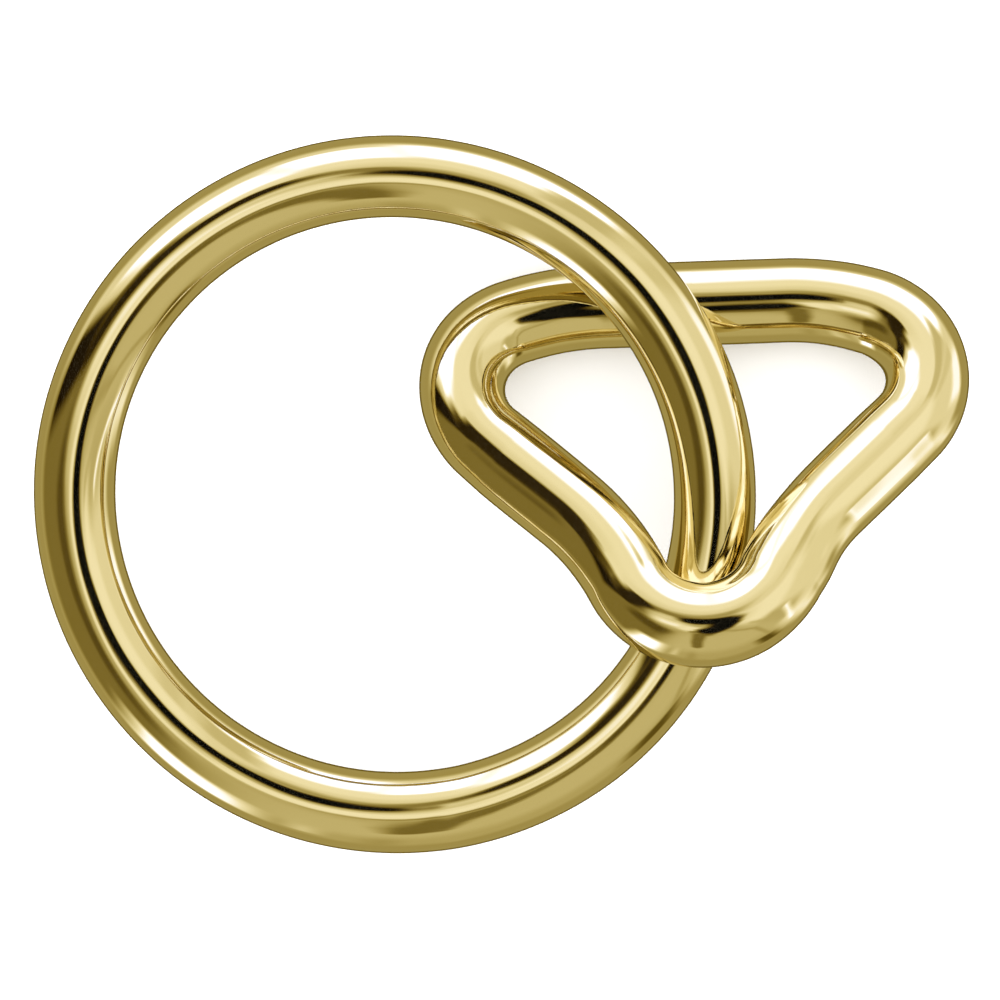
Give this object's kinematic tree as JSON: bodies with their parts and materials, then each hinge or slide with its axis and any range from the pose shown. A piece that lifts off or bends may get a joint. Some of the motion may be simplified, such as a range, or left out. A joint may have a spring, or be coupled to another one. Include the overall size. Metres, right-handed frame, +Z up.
{
  "type": "ring disentanglement puzzle",
  "caption": "Polished brass ring linked through a rounded-triangle loop, both bent from solid round bar, lying at rest with the loop's tip up on the ring.",
  "frame": {"origin": "on the surface that the pair rests on, under the middle of the pair", "axes": "+Z up from the resting surface, +X from the ring towards the loop, +Y towards the loop's straight top bar"},
  "size_m": [0.0686, 0.0526, 0.0159],
  "materials": {
    "ring_brass": "polished",
    "loop_brass": "polished"
  },
  "bodies": {
    "ring": {"round_ring": "ring_brass"},
    "loop": {"triangle_loop": "loop_brass"}
  },
  "joints": [
    {"name": "loop_tip_up", "type": "hinge", "parent": "ring", "child": "loop", "pos_m": [0.014, 0.0141, 0.0031], "axis": [-0.9994, -0.0349, 0], "range_deg": [0, 86]}
  ]
}
